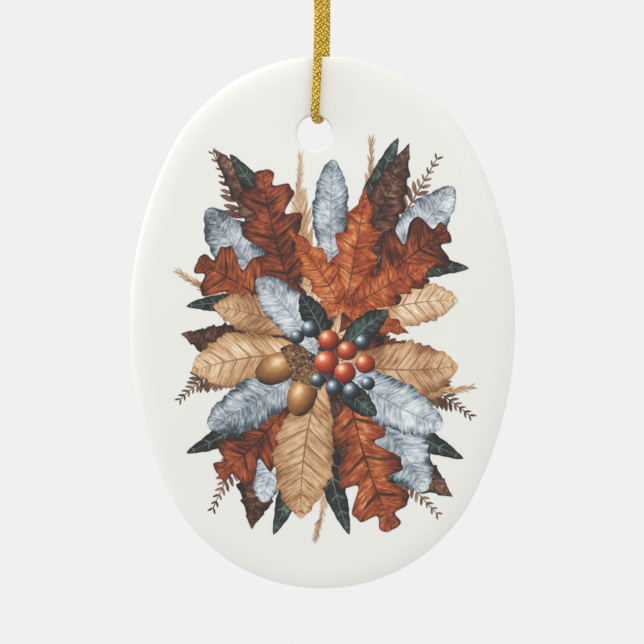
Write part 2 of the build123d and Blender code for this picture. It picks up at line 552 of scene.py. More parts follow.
knotPath = smoothPath("knotLine", knotRoute(), resolution=6)
knotCord, knotLength = braidedCord("knotWraps", knotPath)
dressCordPiece(knotCord, "cord_knot")
onTheCord = [knotCord]
frayNodes = frayTree()
for name, (node, route) in cordEnds.items():
    endPath = smoothPath(name + "Line", route)
    endCord, endLength = braidedCord(name, endPath)
    dressCordPiece(endCord, node)
    tip = frayedTip(name + "Fray", endPath, frayNodes)
    dressCordPiece(tip)
    onTheCord += [endCord, tip]
    print(name, round(endLength / mm, 1), "mm")
print("knot", round(knotLength / mm, 1), "mm of cord in its wraps")


# Plaque: pressed porcelain with a soft rim all round and a rounded hole

plaque = {
    "endArcShare": 0.882,
    "frontRim": (4.2 * mm, 1.25 * mm),   # width and depth of the soft rim
    "backRim": (1.6 * mm, 1.0 * mm),
    "holeRim": (0.45 * mm, 0.45 * mm),
    "holeRadius": 3.25 * mm,
    "holeFromTop": 14.1 * mm,
    "holeLeft": 1.43 * mm,
    "steps": 288,
    "holeSteps": 96,
    "roundSteps": 16,
    "mergeWithin": 0.002 * mm,
    "cloudSize": 22 * mm,      # of the body's faint change of white
    "swellSize": 9 * mm,       # of the waves that the glaze sets in
    "pinSize": 0.5 * mm,
    "glazeRoughness": 0.16,
    "glazeIor": 1.5,
}
halfWidth, halfThickness, halfHeight = ((high - low) / 2 for low, high in zip(plaqueLow, plaqueHigh))
endRadius = plaque["endArcShare"] * halfWidth
sideRadius = (halfWidth**2 + halfHeight**2 - 2 * halfHeight * endRadius) / (2 * (halfWidth - endRadius))


def unitCircle(add, steps):
    # a unit circle whose points remember the outward normal that each one stands for
    normal = add("InputPosition")
    circle = add("CurvePrimitiveCircle", steps, {"Radius": 1.0})
    return add("StoreNamedAttribute", circle, {"Name": "outward", "Value": normal}, **vectorData), normal


def ovalCurve(add, given, inset):
    # four tangent arcs, two for the ends and two for the sides, all moved in by inset
    circle, normal = unitCircle(add, given["Steps"])
    x, y, _ = add("SeparateXYZ", normal).node.outputs
    sideShift = add("SUBTRACT", given["Side Radius"], given["Half Width"])
    endShift = add("SUBTRACT", given["Half Height"], given["End Radius"])
    onSide = add("LESS_THAN", add("MULTIPLY", add("ABSOLUTE", y), sideShift),
                 add("MULTIPLY", add("ABSOLUTE", x), endShift))
    longer = add("MULTIPLY", onSide, add("SUBTRACT", given["Side Radius"], given["End Radius"]))
    radius = add("SUBTRACT", add("ADD", given["End Radius"], longer), inset)
    centreX = add("MULTIPLY", add("MULTIPLY", add("SIGN", x), -1.0), add("MULTIPLY", sideShift, onSide))
    centreY = add("MULTIPLY", add("SIGN", y), add("MULTIPLY", endShift, add("SUBTRACT", 1.0, onSide)))
    place = add("CombineXYZ", add("ADD", centreX, add("MULTIPLY", x, radius)),
                add("ADD", centreY, add("MULTIPLY", y, radius)))
    return add("SetPosition", circle, {"Position": place})


def holeCurve(add, given, inset):
    circle, normal = unitCircle(add, given["Hole Steps"])
    grown = add("VectorMath SCALE", {0: normal, "Scale": add("ADD", given["Hole Radius"], inset)})
    return add("SetPosition", circle, {"Position": add("VectorMath ADD", grown, given["Hole Place"])})


def plaqueTree():
    # the plaque lies face up in the tree and is stood up at its end
    tree, add, given = newNodes(
        "pressedPlaque", Object=["Hole Section"], Vector=["Hole Place", "Centre"],
        Int=["Steps", "Hole Steps"],
        Float=["Half Width", "Half Height", "Half Thickness", "End Radius", "Side Radius", "Front Inset",
               "Back Inset", "Hole Radius", "Hole Inset"])
    outward = add("InputNamedAttribute", "outward", **vectorData)
    holeSection = add("ObjectInfo", given["Hole Section"], out="Geometry")
    parts = []
    for line, section in ((ovalCurve(add, given, 0.0), given["Base"]),
                          (holeCurve(add, given, 0.0), holeSection)):
        facing = add("SetCurveNormal", line, {"Normal": outward}, mode="FREE")
        parts.append(add("CurveToMesh", facing, {"Profile Curve": add("MeshToCurve", section)}))
    for side, inset in ((1.0, given["Front Inset"]), (-1.0, given["Back Inset"])):
        rims = [ovalCurve(add, given, inset), holeCurve(add, given, given["Hole Inset"])]
        lift = add("CombineXYZ", {2: add("MULTIPLY", given["Half Thickness"], side)})
        flat = add("FillCurve", add("JoinGeometry", rims), mode="TRIANGLES")
        parts.append(add("Transform", flat, {"Translation": lift}))
    whole = add("MergeByDistance", add("JoinGeometry", parts), {"Distance": plaque["mergeWithin"]})
    stood = add("Transform", whole, {"Translation": given["Centre"], "Rotation": (math.pi / 2, 0, 0)})
    return closeNodes(tree, add("SetShadeSmooth", stood), given["Material"])


def edgeSection(name, front, back, inwards):
    # the edge's section as a line, from the front face round to the back one; each
    # side is a quarter of an oval, as (width, depth), and rimShare runs from 0 to 1
    points, shares = [], []
    for side, (width, depth) in ((1, front), (-1, back)):
        half = []
        for step in range(plaque["roundSteps"] + 1):
            turn = math.pi / 2 * step / plaque["roundSteps"]
            inset = width * (1 - math.sin(turn))
            # the sweep turns a section over, so the front is drawn below
            height = -side * (halfThickness - depth * (1 - math.cos(turn)))
            half.append(((-inset if inwards else inset, height, 0.0), math.sin(turn)))
        for point, share in (half if side > 0 else reversed(half)):
            points.append(point)
            shares.append(share)
    section = meshPiece(name, points, edges=runOfEdges(len(points)))
    section.data.attributes.new("rimShare", "FLOAT", "POINT").data.foreach_set("value", shares)
    return section


def porcelainPlaque(material):
    rim = edgeSection("glazedPlaque", plaque["frontRim"], plaque["backRim"], True)
    hole = edgeSection("holeSection", plaque["holeRim"], plaque["holeRim"], False)
    runNodes(rim, plaqueTree(), holeSection=hole, halfWidth=halfWidth, halfHeight=halfHeight,
             halfThickness=halfThickness, endRadius=endRadius, sideRadius=sideRadius,
             frontInset=plaque["frontRim"][0], backInset=plaque["backRim"][0],
             holeInset=plaque["holeRim"][0], centre=tuple(plaqueCentre),
             holePlace=(-plaque["holeLeft"], halfHeight - plaque["holeFromTop"], 0.0),
             material=material, **plaque)
    bpy.data.objects.remove(hole)
    rim.data.attributes.remove(rim.data.attributes["outward"])
    fixNormals(rim)
    return rim


def glazedPorcelain():
    # Hard white porcelain under a clear fired glaze: a cool white body, slightly warmer and lighter at the
    # rims, a painted sheen, where the glaze also runs thinner and rougher, with the faint waviness that a
    # glaze sets in.
    material, add, shader = newMaterial("glazedPorcelain")
    place = add("TexCoord", out="Object")
    clouds, swell, pins = (
        add("TexNoise", place, {"Scale": 1 / plaque[size], "Detail": detail})
        for size, detail in (("cloudSize", 3.0), ("swellSize", 1.0), ("pinSize", 2.0)))
    body = setStops(add("ValToRGB", clouds), {0.3: "#ECEDE7", 0.7: "#EFEFEA"})
    # the rims are tinted lighter, a painted sheen, and their thinner glaze is rougher
    thinGlazeAndSheen = add("POWER", add("Attribute", attribute_name="rimShare", out="Fac"), 6.0)
    fine = add("Bump", {"Height": pins, "Strength": 0.06, "Distance": 0.01 * mm})
    fillInputs(shader, {
        "Base Color": add("Mix", {0: thinGlazeAndSheen, 6: body, 7: linear("#F1F1ED")}, data_type="RGBA", out=2),
        "Roughness": add("MapRange", thinGlazeAndSheen, {"To Min": plaque["glazeRoughness"], "To Max": 0.6}),
        "Normal": add("Bump", {"Height": swell, "Strength": 0.25, "Distance": 0.05 * mm, "Normal": fine}),
        "IOR": plaque["glazeIor"], "Specular IOR Level": 0.3})
    return material


glazedPlaque = porcelainPlaque(glazedPorcelain())
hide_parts("porcelain_plaque")
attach(glazedPlaque, "plaque")
print("plaque", len(glazedPlaque.data.polygons), "faces")


# Print: a woodland spray, painted in loose strokes and fired on under the glaze.
# Each painted form is a thin sheet that lies a few hundredths above the face.

printing = {
    "lift": 0.02 * mm,         # the lowest sheet above the glazed face
    "layer": 0.006 * mm,       # from one layer of paint to the next
    "wobble": 0.035,           # unevenness of a painted edge, as a share of the width
    "stemSeed": 41,
    "stemTaper": 0.7,          # how much of its width a stem loses along its length
    "stemSide": 0.6,           # where on the paint's way to its edge a stem's side lies
    "stemBelow": 0.2,          # layers that a stem lies under its leaflets
}


def onFace(across, up, layer):
    # a point of the printed face, in millimetres from the plaque's centre
    return np.stack([plaqueCentre.x + across * mm,
                     frontFaceY - printing["lift"] - layer * printing["layer"] + 0 * across,
                     plaqueCentre.z + up * mm], axis=-1)


# each outline gives the half width at t along the form, on the side that s has the sign of

def oakOutline(t, s):
    envelope = np.sin(np.pi * t**0.95) ** 0.7 * (0.5 + 0.62 * t)
    lean = np.where(s > 0, 0.35, -0.2)
    lobes = 1 - 0.56 * (0.5 + 0.5 * np.cos(2 * np.pi * 4.5 * t + lean)) ** 2.2
    return envelope * lobes


def mapleOutline(t, s):
    envelope = np.sin(np.pi * t**0.72) ** 1.1
    teeth = np.abs(((4.2 * t + np.where(s > 0, 0.1, 0.45)) % 1) * 2 - 1)
    return envelope * (1 - 0.42 * teeth * np.clip(t * 2.2, 0, 1))


def beechOutline(t, s):
    return np.sin(np.pi * t**0.85) ** 0.88 * (1 + 0.03 * np.cos(2 * np.pi * 9 * t))


def softOutline(t, s):
    return np.sin(np.pi * t**0.92) ** 0.68


def strapOutline(t, s):
    return np.sin(np.pi * t**0.8) ** 0.75


def nutOutline(t, s):
    return np.sqrt(np.clip(1 - (2 * np.clip(t, 0, 0.94) / 0.94 - 1) ** 2, 0, 1)) * 0.98 + 0.02 * (1 - t)


def cupOutline(t, s):
    return np.sqrt(np.clip(1 - (1 - t) ** 2, 0, 1)) - 0.12 * t**6


def chestnutOutline(t, s):
    teeth = ((10 * t + np.where(s > 0, 0.0, 0.3)) % 1) * np.clip(t * 4, 0, 1)
    return np.sin(np.pi * t**0.9) ** 0.95 * (1 - 0.2 * teeth)


def gridFaces(rows, columns):
    corners = [row * columns + column for row in range(rows - 1) for column in range(columns - 1)]
    return [(a, a + 1, a + columns + 1, a + columns) for a in corners]


def paintedLeaf(leaf, outline, sweep, draw, grid, wobbly=1.0):
    # leaf is (base, tip, bow, width share, layer); lines of equal t lean forwards
    # from the midrib as side veins do
    base, tip, bow, width, layer = leaf
    rows, columns = grid
    base, tip = np.array(base, float), np.array(tip, float)
    length = np.linalg.norm(tip - base)
    heading = (tip - base) / length
    middle = (base + tip) / 2 + np.array([heading[1], -heading[0]]) * bow * length
    t = np.linspace(0, 1, rows)[:, None]
    s = np.linspace(-1, 1, columns)[None, :]
    wobble = 1
    for waves in (5, 11, 23):
        swing = np.sin(waves * t * 3.1 + draw.uniform(0, 6.3) + 1.3 * np.sign(s))
        wobble = wobble + wobbly * printing["wobble"] * swing
    half = width * outline(t, s) * wobble + 0 * s
    share = t + sweep * np.abs(s) * half
    centre = [(1 - share) ** 2 * base[k] + 2 * (1 - share) * share * middle[k] + share**2 * tip[k]
              for k in (0, 1)]
    slope = [(1 - share) * (middle[k] - base[k]) + share * (tip[k] - middle[k]) for k in (0, 1)]
    size = np.hypot(*slope) + 1e-9
    across = centre[0] + slope[1] / size * s * half * length
    up = centre[1] - slope[0] / size * s * half * length
    verts = onFace(across.ravel(), up.ravel(), layer)
    place = np.stack(np.broadcast_arrays(t, s, draw.uniform(0, 10)), axis=-1).reshape(-1, 3)
    return verts, gridFaces(rows, columns), place


def paintedLine(path, width, layer, draw):
    # a drawn stem that thins along the path, given in millimetres from the centre
    slope = np.gradient(path, axis=0)
    slope /= np.linalg.norm(slope, axis=1)[:, None]
    t = np.linspace(0, 1, len(path))
    half = 0.5 * width * (1 - printing["stemTaper"] * t)
    aside = half[:, None] * np.stack([slope[:, 1], -slope[:, 0]], axis=1)
    sides = [path + side * aside for side in (-1, 0, 1)]
    across, up = (np.stack([side[:, k] for side in sides], axis=1).ravel() for k in (0, 1))
    seed = np.full(3 * len(path), draw.uniform(0, 10))
    edge = printing["stemSide"]
    place = np.stack([np.repeat(t, 3), np.tile([-edge, 0.0, edge], len(path)), seed], axis=1)
    return onFace(across, up, layer), gridFaces(len(path), 3), place


def turnToFront(work):
    # turns every face of a flat painted piece to the front
    bmesh.ops.dissolve_degenerate(work, edges=work.edges, dist=1e-7)
    bmesh.ops.reverse_faces(work, faces=[face for face in work.faces if face.normal.y > 0])


def printPiece(name, forms, material):
    # joins painted forms into one piece that faces the viewer
    faces, first = [], 0
    for form in forms:
        faces += [tuple(first + corner for corner in face) for face in form[1]]
        first += len(form[0])
    piece = meshPiece(name, np.concatenate([form[0] for form in forms]), faces, material=material)
    marks = piece.data.attributes.new("leafPlace", "FLOAT_VECTOR", "POINT")
    marks.data.foreach_set("vector", np.concatenate([form[2] for form in forms]).ravel())
    changeFaces(piece, turnToFront)
    return piece


def onPlaque(piece):
    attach(piece, "plaque")


def paintMaterial(name, paint):
    # Ceramic colour brushed on in fine hatched strokes and glazed over: mottled pools
    # of wash, strokes that follow the side veins, drawn veins and a darker edge.
    material, add, shader = newMaterial(name)
    place = add("Attribute", attribute_name="leafPlace", out="Vector")
    along, across, seed = add("SeparateXYZ", place).node.outputs
    own = add("Attribute", attribute_name="leafletSeed", out="Fac")
    seed = add("ADD", seed, own)
    side = add("ABSOLUTE", across)
    wash = add("TexNoise", {"Vector": add("TexCoord", out="Object"), "Detail": 3.0,
                            "Scale": 1 / (paint["washSize"] * mm)})
    strokeAt = add("CombineXYZ", add("MULTIPLY", along, paint["strokesAlong"]),
                   add("MULTIPLY", across, paint["strokesAcross"]), seed)
    strokes = add("TexNoise", strokeAt, {"Scale": 1.0, "Detail": 3.0, "Roughness": 0.65})
    # wash, strokes, a tone of its own for each leaf and leaflet, a lighter tip, a darker edge
    shade = add("MULTIPLY", add("MapRange", wash, *paint["contrast"], **smoothStep), paint["washShare"])
    for level, share in ((add("MapRange", strokes, *paint["contrast"], **smoothStep), paint["strokeShare"]),
                         (add("SINE", add("MULTIPLY", seed, 7.0)), paint["leafShare"]),
                         (add("SINE", add("MULTIPLY", own, 5.0)), paint["leafletShare"]),
                         (along, paint["tipLight"])):
        shade = add("ADD", shade, add("MULTIPLY", level, share))
    edge = add("MapRange", side, paint["edgeFrom"], 1.0, 0.0, paint["edgeDark"], **smoothStep)
    shade = add("SUBTRACT", shade, edge)
    colour = setStops(add("ValToRGB", shade), paint["shades"])
    # veins are lines of equal t, thin towards the edge, and the midrib at s = 0
    cycle = add("FRACT", add("MULTIPLY", along, paint["veins"]))
    fromVein = add("ABSOLUTE", add("SUBTRACT", cycle, 0.5))
    vein = add("MapRange", fromVein, paint["veinWidth"], paint["veinWidth"] * 0.35, **smoothStep)
    vein = add("MULTIPLY", vein, add("MapRange", side, *paint["veinFade"], **smoothStep))
    midrib = add("MapRange", side, paint["midribWidth"], paint["midribWidth"] * 0.4, **smoothStep)
    lines = add("MULTIPLY", add("MAXIMUM", vein, midrib), paint["veinStrength"])
    rim = add("MULTIPLY", add("MapRange", side, paint["rimFrom"], 1.0, **smoothStep),
              add("MapRange", strokes, *paint["rimBreaks"], **smoothStep))
    for share, ink in ((lines, paint["veinColour"]), (rim, paint["rimColour"])):
        colour = add("Mix", {0: share, 6: colour, 7: linear(ink)}, data_type="RGBA", out=2)
    fillInputs(shader, {"Base Color": colour, "IOR": plaque["glazeIor"],
                        "Roughness": plaque["glazeRoughness"]})
    return material


usualPaint = {
    "washSize": 4.0,           # pools of wash, in millimetres
    "contrast": (0.3, 0.7),    # levels of wash and strokes that come out darkest and lightest
    "washShare": 0.38,         # shares of the tone: wash, strokes, each leaf's and leaflet's own
    "strokeShare": 0.5,
    "leafShare": 0.1,
    "leafletShare": 0.16,
    "strokesAcross": 2.0,
    "tipLight": 0.1,
    "edgeFrom": 0.55,          # from here outwards the tone sinks by edgeDark
    "edgeDark": 0.25,
    "veins": 8.0,
    "veinWidth": 0.06,
    "midribWidth": 0.05,
    "veinFade": (0.95, 0.4),   # a side vein is gone at the first and whole at the second
    "veinStrength": 0.6,
    "rimFrom": 0.88,
    "rimBreaks": (0.62, 0.4),  # levels of the strokes at which the dark rim is gone and whole
}
paints = {
    "rustPaint": {
        "washSize": 5.0, "strokesAlong": 60.0, "strokesAcross": 2.2, "tipLight": 0.12, "edgeDark": 0.3,
        "shades": {0.0: "#25100A", 0.3: "#5E2712", 0.55: "#91411F", 0.8: "#BC6232", 1.0: "#E0A06C"},
        "veins": 4.5, "veinWidth": 0.07, "veinStrength": 0.85, "veinColour": "#25100A", "rimFrom": 0.86,
        "rimColour": "#1E0F0A",
    },
    "orangePaint": {
        "strokesAlong": 46.0, "tipLight": -0.08, "edgeDark": 0.22,
        "shades": {0.0: "#6A240F", 0.35: "#A8491F", 0.6: "#C96F3A", 0.85: "#E5A36A", 1.0: "#F3CC9C"},
        "veins": 5.0, "midribWidth": 0.06, "veinStrength": 0.8, "veinColour": "#5A1E0E",
        "rimColour": "#4A170B",
    },
    "umberPaint": {
        "strokesAlong": 64.0, "strokesAcross": 2.2, "edgeDark": 0.3,
        "shades": {0.0: "#150C08", 0.35: "#3E2418", 0.6: "#694432", 0.85: "#96705A", 1.0: "#C09C80"},
        "veinStrength": 0.7, "veinColour": "#140B07", "rimColour": "#100907",
    },
    "cupPaint": {
        "washSize": 0.8, "strokesAlong": 9.0, "strokesAcross": 6.0,
        "shades": {0.0: "#23140C", 0.35: "#54371F", 0.6: "#86603F", 0.85: "#B78D62", 1.0: "#DDBF96"},
        "veins": 5.0, "veinWidth": 0.16, "midribWidth": 0.03, "veinColour": "#20120B", "rimFrom": 0.85,
        "rimColour": "#1C100A",
    },
    "peachPaint": {
        "washSize": 5.0, "strokesAlong": 70.0, "tipLight": 0.05,
        "shades": {0.0: "#8A5A38", 0.35: "#C79A6C", 0.6: "#DDBB93", 0.85: "#EFD9BA", 1.0: "#F7EBD8"},
        "veins": 9.0, "veinWidth": 0.09, "midribWidth": 0.045, "veinStrength": 0.75,
        "veinColour": "#7A4A2C", "rimFrom": 0.9, "rimColour": "#6E4228",
    },
    "palePaint": {
        "strokesAlong": 55.0, "strokesAcross": 2.6, "tipLight": 0.05, "edgeDark": 0.35,
        "shades": {0.0: "#3C474D", 0.28: "#8894A0", 0.52: "#B9C3C8", 0.76: "#DBE1E3", 1.0: "#F6F7F6"},
        "veins": 7.0, "veinWidth": 0.07, "midribWidth": 0.06, "veinStrength": 0.5, "veinColour": "#626F76",
        "rimFrom": 0.86, "rimColour": "#3A4B50",
    },
    "darkPaint": {
        "washSize": 3.0, "strokesAlong": 40.0,
        "shades": {0.0: "#0E0D0C", 0.4: "#1E1F1D", 0.7: "#33433F", 0.9: "#4D7168", 1.0: "#7E9A92"},
        "midribWidth": 0.07, "veinStrength": 0.45, "veinColour": "#8DA39C", "rimFrom": 0.9,
        "rimColour": "#0C0B0A",
    },
    "brownPaint": {
        "washSize": 3.0, "strokesAlong": 26.0, "strokesAcross": 3.0, "tipLight": 0.15,
        "shades": {0.0: "#2A1710", 0.35: "#57331F", 0.6: "#7A5540", 0.85: "#A9805F", 1.0: "#CDAE8C"},
        "veins": 1.0, "veinWidth": 0.0, "midribWidth": 0.12, "veinColour": "#2A1710", "rimFrom": 0.85,
        "rimColour": "#20110B",
    },
}
paintOf = {name: paintMaterial(name, usualPaint | paint) for name, paint in paints.items()}

# each leaf is (base, tip, bow, width share, layer), and no two share a layer
leafKinds = {
    "printedOakLeaves": {
        "paint": "rustPaint", "outline": oakOutline, "sweep": 0.55, "grid": (90, 17), "seed": 3,
        "leaves": [
            ((-1, -4), (-23, 11), 0.1, 0.26, 8.0), ((3, -2), (23, 17), -0.1, 0.27, 7.0),
            ((-2, -8), (-19, -28), -0.12, 0.26, 8.1), ((-3, 0), (-11, 28), -0.08, 0.24, 7.5),
            ((4, -7), (13, -38), 0.08, 0.23, 8.5), ((1, -4), (17, -10), -0.15, 0.28, 9.05),
        ],
    },
    "printedMapleLeaf": {
        "paint": "orangePaint", "outline": mapleOutline, "sweep": 0.5, "grid": (60, 13), "seed": 5,
        "leaves": [
            ((4, 2), (8, 25), 0.02, 0.2, 9.1), ((4, 2), (-6, 17), 0.05, 0.2, 9.2),
            ((4, 2), (21, 11), -0.05, 0.2, 9.4), ((4, 2), (-5, 2), 0.05, 0.22, 9.6),
            ((4, 2), (16, -2), -0.05, 0.22, 9.8),
        ],
    },
    "printedBeechLeaves": {
        "paint": "peachPaint", "outline": beechOutline, "sweep": 0.75, "grid": (50, 13), "seed": 8,
        "leaves": [
            ((2, -7), (25, -8), 0.1, 0.22, 10.0), ((-2, -6), (-24, -9), 0.1, 0.22, 10.1),
            ((0, -9), (-4, -36), 0.08, 0.2, 8.9), ((-3, -2), (-20, 3), 0.08, 0.2, 8.8),
            ((5, 0), (25, 4), -0.12, 0.2, 6.0), ((-1, -5), (-3, 9), 0.1, 0.2, 6.5),
            ((1, -4), (12, 5), -0.1, 0.2, 6.6),
        ],
    },
    "printedSageLeaves": {
        "paint": "palePaint", "outline": softOutline, "sweep": 0.6, "grid": (44, 13), "seed": 11,
        "leaves": [
            ((2, -7), (22, -19), 0.1, 0.19, 11.0), ((3, -8), (19, -31), -0.05, 0.18, 7.1),
            ((-2, -7), (-21, -19), -0.08, 0.19, 11.1), ((-4, 2), (-21, 21), -0.1, 0.17, 5.0),
            ((6, 6), (24, 25), 0.08, 0.16, 5.1), ((-1, -6), (-12, 8), 0.1, 0.2, 12.0),
            ((2, 8), (2, 30), -0.04, 0.15, 5.2), ((-1, -8), (-11, -33), 0.06, 0.16, 6.1),
        ],
    },
    "printedChestnutLeaves": {
        "paint": "umberPaint", "outline": chestnutOutline, "sweep": 0.45, "grid": (90, 13), "seed": 19,
        "leaves": [
            ((-2, -4), (-26, -2), -0.1, 0.17, 7.2), ((2, -9), (24, -32), 0.12, 0.16, 5.3),
            ((-3, -8), (-13, -38), 0.1, 0.17, 5.4), ((0, 2), (16, 33), 0.06, 0.13, 5.5),
            ((-2, 3), (-20, 32), 0.08, 0.12, 3.5), ((1, -10), (8, -31), 0.05, 0.17, 3.6),
        ],
    },
    "printedOliveLeaves": {
        "paint": "darkPaint", "outline": strapOutline, "sweep": 0.8, "grid": (36, 9), "seed": 14,
        "leaves": [
            ((-8, 2), (-25, 3), 0.12, 0.1, 4.0), ((8, 8), (27, 10), -0.1, 0.1, 4.1),
            ((0, -15), (5, -39), 0.08, 0.09, 4.2), ((-3, 8), (-17, 31), 0.05, 0.09, 4.3),
            ((6, 10), (14, 34), -0.06, 0.09, 4.4), ((4, -10), (26, -25), 0.1, 0.09, 4.5),
            ((-4, -10), (-25, -24), -0.1, 0.09, 4.6), ((-2, -12), (-9, -39), -0.08, 0.09, 4.7),
            ((1, -5), (-4, 5), 0.1, 0.2, 12.4), ((3, -6), (12, 2), -0.1, 0.19, 12.5),
            ((2, -9), (10, -17), 0.1, 0.19, 12.6),
        ],
    },
    "printedIvyLeaves": {
        # short dark leaves at the heart of the spray, seen between the others
        "paint": "darkPaint", "outline": beechOutline, "sweep": 0.5, "grid": (24, 9), "seed": 17,
        "leaves": [
            ((3, -6), (-7, 1), 0.05, 0.34, 3.0), ((3, -7), (1, 6), 0.05, 0.32, 3.05),
            ((2, -7), (11, 1), 0.05, 0.32, 3.1), ((1, -7), (13, -7), 0.05, 0.3, 3.15),
            ((3, -6), (8, -17), 0.05, 0.32, 3.2), ((3, -6), (-1, -17), 0.05, 0.32, 3.25),
            ((4, -7), (-8, -11), 0.05, 0.32, 3.3), ((5, -7), (-8, -4), 0.05, 0.32, 3.35),
            ((5, 3), (12, 15), 0.05, 0.3, 5.25),
        ],
    },
}
for name, kind in leafKinds.items():
    draw = np.random.default_rng(kind["seed"])
    forms = [paintedLeaf(leaf, kind["outline"], kind["sweep"], draw, kind["grid"])
             for leaf in kind["leaves"]]
    onPlaque(printPiece(name, forms, paintOf[kind["paint"]]))
print("painted leaves done")


# Fronds, plumes and sprigs: small painted leaflets that follow a drawn stem

leafletForm = {
    "outline": strapOutline,
    "sweep": 0.5,
    "grid": (14, 5),
    "swellSkew": 0.55,         # under 1 the largest leaflets sit below the middle
    "closing": 0.45,           # share of the spread that is lost at the tip
    "sizeVariation": 0.12,
    "layerStep": 0.00012 * mm,
}


def leafletTree():
    tree, add, given = newNodes(
        "leafletsAlongStem", Object=["Leaflet"], Int=["Count", "Seed"],
        Float=["Size", "Spread", "Jitter", "Tip Size", "Layer Step"])
    stem = add("ResampleCurve", {"Curve": add("MeshToCurve", given["Base"]), "Count": given["Count"]})
    share = add("SplineParameter", out="Factor")
    x, _, z = add("SeparateXYZ", add("InputTangent")).node.outputs
    heading = add("ARCTAN2", x, z)
    skewed = add("POWER", share, leafletForm["swellSkew"])
    swell = add("SINE", add("MULTIPLY", skewed, math.pi))
    scale = add("MULTIPLY", given["Size"], add("MAXIMUM", swell, given["Tip Size"]))
    closed = add("SUBTRACT", 1.0, add("MULTIPLY", share, leafletForm["closing"]))
    lean = add("MULTIPLY", given["Spread"], closed)
    leaflet = add("ObjectInfo", given["Leaflet"], out="Geometry")
    index = add("SplineParameter", out="Index")
    sides = []
    for way in (-1, 1):
        step = add("MULTIPLY", add("ADD", index, way * 0.5), given["Layer Step"])
        layered = add("SetPosition", stem, {"Offset": add("CombineXYZ", {1: add("MULTIPLY", step, -1.0)})})
        chance = add("RandomValue", {2: -1.0, 3: 1.0, "Seed": add("ADD", given["Seed"], way)}, out="Value")
        turn = add("ADD", heading, add("MULTIPLY", lean, float(way)))
        turn = add("ADD", turn, add("MULTIPLY", chance, given["Jitter"]))
        vary = add("MULTIPLY", chance, leafletForm["sizeVariation"])
        varied = add("MULTIPLY", scale, add("ADD", vary, 1.0))
        placed = add("InstanceOnPoints", {
            "Points": layered, "Instance": leaflet, "Scale": add("CombineXYZ", varied, varied, varied),
            "Rotation": add("EulerToRotation", add("CombineXYZ", {1: turn}))})
        ownSeed = add("ADD", given["Seed"], 5.0 + way)
        own = add("RandomValue", {2: 0.0, 3: 10.0, "Seed": ownSeed}, out="Value")
        sides.append(add("StoreNamedAttribute", placed, {"Name": "leafletSeed", "Value": own},
                         domain="INSTANCE"))
    return closeNodes(tree, add("JoinGeometry", sides), given["Material"])


def leafletShape(name, width, paint):
    # one flat leaflet, a unit long, that points up from the origin
    leaf = ((0, 0), (0, 1 / mm), 0, width, 0)
    verts, faces, place = paintedLeaf(leaf, leafletForm["outline"], leafletForm["sweep"],
                                      np.random.default_rng(1), leafletForm["grid"])
    return printPiece(name, [(verts - onFace(np.zeros(1), np.zeros(1), 0), faces, place)], paint)


sprays = {
    "printedFernFronds": {
        "paint": "brownPaint", "leafletWidth": 0.15, "count": 24, "size": 6.6 * mm,
        "spread": math.radians(66), "jitter": math.radians(4), "tipSize": 0.2, "seed": 31,
        "layer": 1, "stemWidth": 0.6,
        "stems": [
            [(-2, -2), (-12, 14), (-20, 31)], [(3, 0), (13, 16), (21, 30)],
            [(-3, -8), (-14, -20), (-20, -34)], [(3, -10), (12, -26), (21, -35)],
            [(-4, -5), (-16, -4), (-26, -14)], [(4, -5), (16, -8), (27, -17)],
        ],
    },
    "printedGrassPlumes": {
        "paint": "peachPaint", "leafletWidth": 0.06, "count": 70, "size": 5.0 * mm,
        "spread": math.radians(26), "jitter": math.radians(14), "tipSize": 0.35, "seed": 37,
        "layer": 2.5, "stemWidth": 0.35,
        "stems": [
            [(-1, 4), (-5, 18), (-4, 30)], [(4, 4), (9, 20), (9, 33)], [(-4, -2), (-16, 2), (-26, 9)],
            [(2, -12), (2, -28), (-1, -39)], [(5, -6), (18, -14), (27, -12)],
        ],
    },
}
sprayTree = leafletTree()


def printSpray(name, spray):
    paint = paintOf[spray["paint"]]
    leaflet = leafletShape(name + "Leaflet", spray["leafletWidth"], paint)
    verts, edges = [], []
    for route in spray["stems"]:
        across, up = np.array(route, float).T
        path = smoothPath(name + "Stem", onFace(across, up, spray["layer"]), resolution=8)
        edges += runOfEdges(len(path), first=len(verts))
        verts += list(path)
    piece = meshPiece(name, verts, edges=edges)
    runNodes(piece, sprayTree, leaflet=leaflet, material=paint, **leafletForm, **spray)
    bpy.data.objects.remove(leaflet)
    onPlaque(piece)
    print(name, len(piece.data.polygons), "faces")


def printStems():
    draw = np.random.default_rng(printing["stemSeed"])
    lines = []
    for spray in sprays.values():
        for route in spray["stems"]:
            path = smoothPath("stem", [(across, 0.0, up) for across, up in route], resolution=10)
            layer = spray["layer"] - printing["stemBelow"]
            lines.append(paintedLine(path[:, [0, 2]], spray["stemWidth"], layer, draw))
    onPlaque(printPiece("printedStems", lines, paintOf["brownPaint"]))


for name, spray in sprays.items():
    printSpray(name, spray)
printStems()


# Berries and acorns: round forms, each with its light on the upper left

